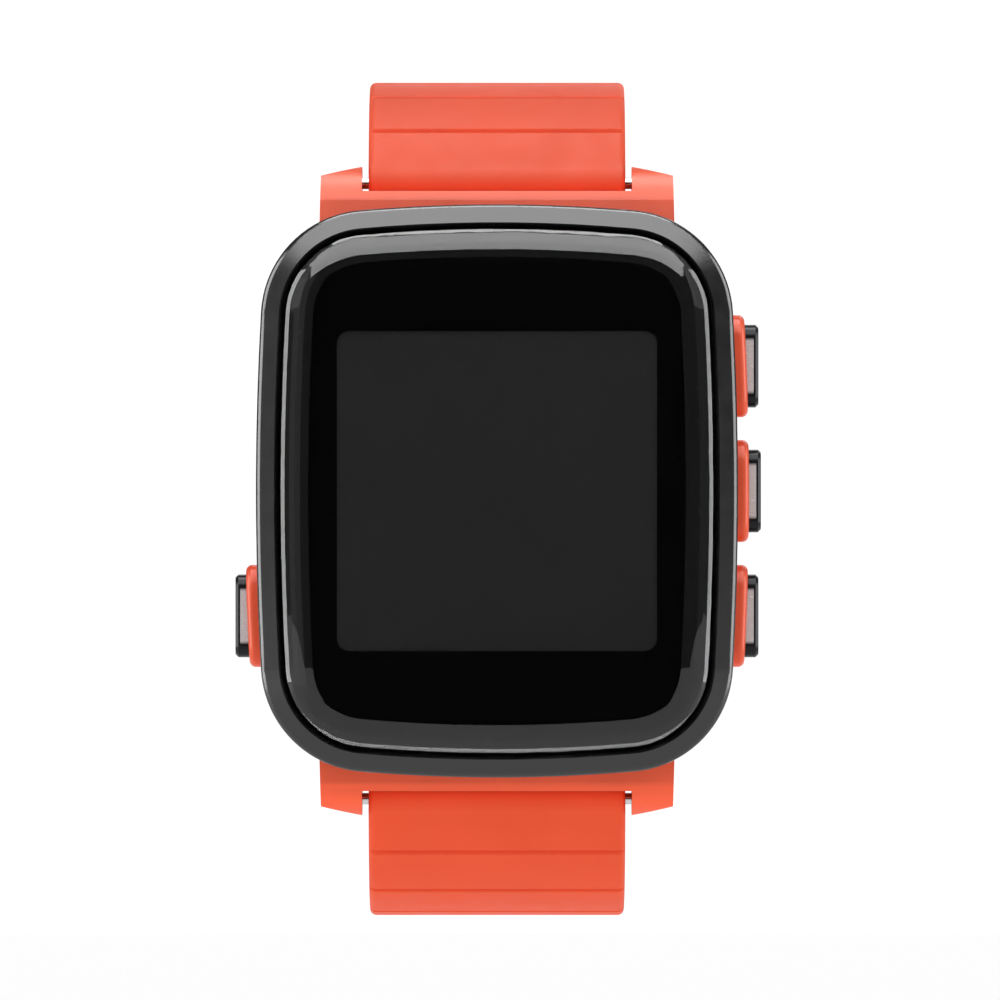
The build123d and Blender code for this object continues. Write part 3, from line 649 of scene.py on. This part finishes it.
# direction from the watch, distance, (width, height), radiance, and what the lamp lights:
# "matt" lamps light surfaces and aren't seen in gloss, "gloss" lamps are seen in gloss alone
LAMPS = {
    "key": ((-0.1, -0.84, 0.53), 0.6, (0.8, 0.6), 1.3, "matt"),
    "overhead": ((0, -0.02, 1), 0.5, (0.42, 0.2), 3.0, "matt"),
    "left_side": ((-1, -0.15, 0.05), 0.5, (0.3, 0.5), 1.6, "matt"),
    "right_side": ((1, -0.15, 0.05), 0.5, (0.3, 0.5), 1.6, "matt"),
    "back_light": ((0.2, 0.8, 0.5), 0.6, (0.4, 0.3), 1.6, "both"),
    "top_strip": ((0, -0.62, 0.78), 0.5, (0.8, 0.34), 5.4, "gloss"),
    "rim_strip": ((0, -0.05, 1), 0.5, (0.5, 0.24), 10.0, "gloss"),
    "left_strip": ((-1, -0.2, 0.1), 0.5, (0.34, 0.6), 7.0, "gloss"),
    "left_faint": ((-0.7, -0.7, 0.0), 0.5, (0.2, 0.5), 0.3, "gloss"),
    "right_strip": ((1, -0.2, 0.1), 0.5, (0.34, 0.6), 6.0, "gloss"),
}


def camera():
    """Long lens that looks straight at the display."""
    lens = bpy.data.cameras.new("camera")
    lens.lens, lens.sensor_width = LENS, SENSOR
    lens.clip_start, lens.clip_end = 0.01, 20.0
    eye = bpy.data.objects.new("camera", lens)
    bpy.context.scene.collection.objects.link(eye)
    distance = VIEW_W / (SENSOR / LENS)
    eye.location = AIM - Vector((0, distance, 0))
    eye.rotation_euler = (pi / 2, 0, 0)
    bpy.context.scene.camera = eye


def softbox(name, direction, distance, size, radiance, lights):
    """Rectangular lamp that faces the watch."""
    lamp = bpy.data.lights.new(name, "AREA")
    lamp.shape, lamp.size, lamp.size_y = "RECTANGLE", *size
    lamp.energy = radiance * pi * size[0] * size[1]
    made = bpy.data.objects.new(name, lamp)
    bpy.context.scene.collection.objects.link(made)
    made.location = AIM + Vector(direction).normalized() * distance
    made.rotation_euler = (AIM - made.location).to_track_quat("-Z", "Y").to_euler()
    made.visible_camera = False
    made.visible_diffuse = lights != "gloss"
    made.visible_glossy = made.visible_transmission = lights != "matt"


def staged(name, mesh_maker, glow, diffuse):
    """A stage object of one plain grey, which may glow as a lit cyclorama does."""
    work = bmesh.new()
    mesh_maker(work)
    made = to_object(name, work)
    material = bpy.data.materials.new(name)
    material.use_nodes = True
    shader = material.node_tree.nodes["Principled BSDF"]
    shader.inputs["Base Color"].default_value = (diffuse, diffuse, diffuse, 1)
    shader.inputs["Roughness"].default_value = 0.2
    shader.inputs["Specular IOR Level"].default_value = 0.12
    shader.inputs["Emission Color"].default_value = (1, 1, 1, 1)
    shader.inputs["Emission Strength"].default_value = glow
    made.data.materials.append(material)
    return made


def surroundings():
    """Pale floor and backdrop, and a dark card that keeps the flat glass black from in front."""
    level = Matrix.Translation((0, 0, FLOOR_Z))
    staged("floor", lambda work: bmesh.ops.create_circle(
        work, cap_ends=True, segments=96, radius=FLOOR_R, matrix=level), FLOOR_GLOW, FLOOR_DIFFUSE)
    dome = staged("backdrop", lambda work: bmesh.ops.create_uvsphere(
        work, u_segments=64, v_segments=32, radius=DOME_R), DOME_GLOW, 0.0)
    dome.visible_diffuse = dome.visible_glossy = False
    dome.visible_transmission = dome.visible_shadow = False
    facing = Matrix.Translation((0, -CARD_AHEAD, 0)) @ Matrix.Rotation(pi / 2, 4, "X")
    card = staged("black_card", lambda work: bmesh.ops.create_grid(
        work, x_segments=1, y_segments=1, size=CARD_HALF, matrix=facing), 0.0, 0.0)
    card.visible_camera = card.visible_diffuse = card.visible_shadow = False


def studio():
    world = bpy.data.worlds.new("world")
    bpy.context.scene.world = world
    world.use_nodes = True
    sky = world.node_tree.nodes["Background"]
    sky.inputs["Color"].default_value = (1, 1, 1, 1)
    sky.inputs["Strength"].default_value = WORLD_GLOW
    bpy.context.scene.view_settings.view_transform = "Standard"
    surroundings()
    for name, (direction, distance, size, radiance, lights) in LAMPS.items():
        softbox(name, direction, distance, size, radiance, lights)


# ================================================================ the scene
dress([short_half(), long_half(), free_keeper()])
studio()
camera()
bpy.context.view_layer.update()
